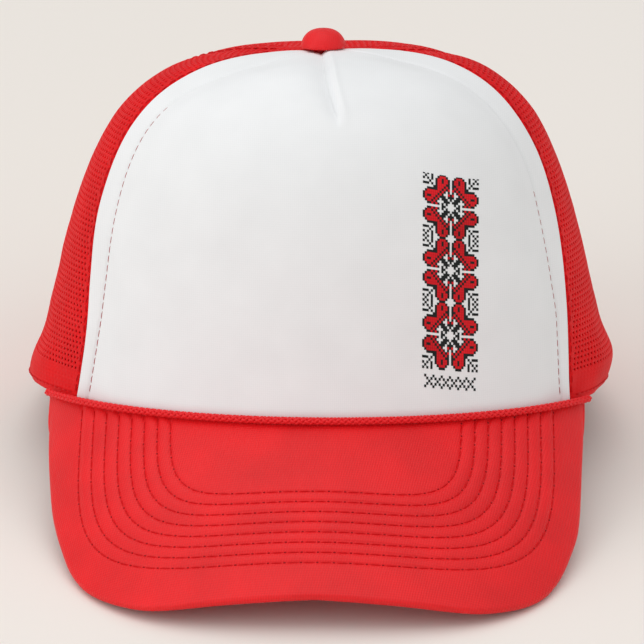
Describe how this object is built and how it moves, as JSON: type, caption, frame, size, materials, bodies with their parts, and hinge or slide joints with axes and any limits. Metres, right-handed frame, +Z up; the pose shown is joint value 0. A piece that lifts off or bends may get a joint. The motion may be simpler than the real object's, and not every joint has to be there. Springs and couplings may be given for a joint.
{
  "type": "foam-front cap with a net back and a curved peak",
  "caption": "Cap with a padded white front, red net sides and back, a curved stitched peak edged by a rope, a cross-stitch band and a strap across a bound arch at the back.",
  "frame": {"origin": "centre of the cap's footprint, on the floor that it lies on", "axes": "+Z up, -Y the way the peak points, +X to the right of someone who faces the front panel"},
  "size_m": [0.1892, 0.2472, 0.1396],
  "materials": {
    "front_cloth": "matte smooth knit over foam",
    "net": "soft sheen polyester net",
    "peak_cloth": "matte twill",
    "rope": "braided cord with a soft sheen",
    "band_cloth": "brushed cotton tape",
    "strap": "satin moulded plastic",
    "motif_red": "matte print",
    "motif_black": "matte print",
    "thread": "twisted sewing thread"
  },
  "bodies": {
    "root": {"front_panel": "front_cloth", "mesh_side_left": "net", "mesh_side_right": "net", "mesh_back_left": "net", "mesh_back_right": "net", "peak": "peak_cloth", "rope": "rope", "button": "peak_cloth", "sweatband": "band_cloth", "arch_binding": "peak_cloth", "snap_strap": "strap"}
  },
  "joints": []
}
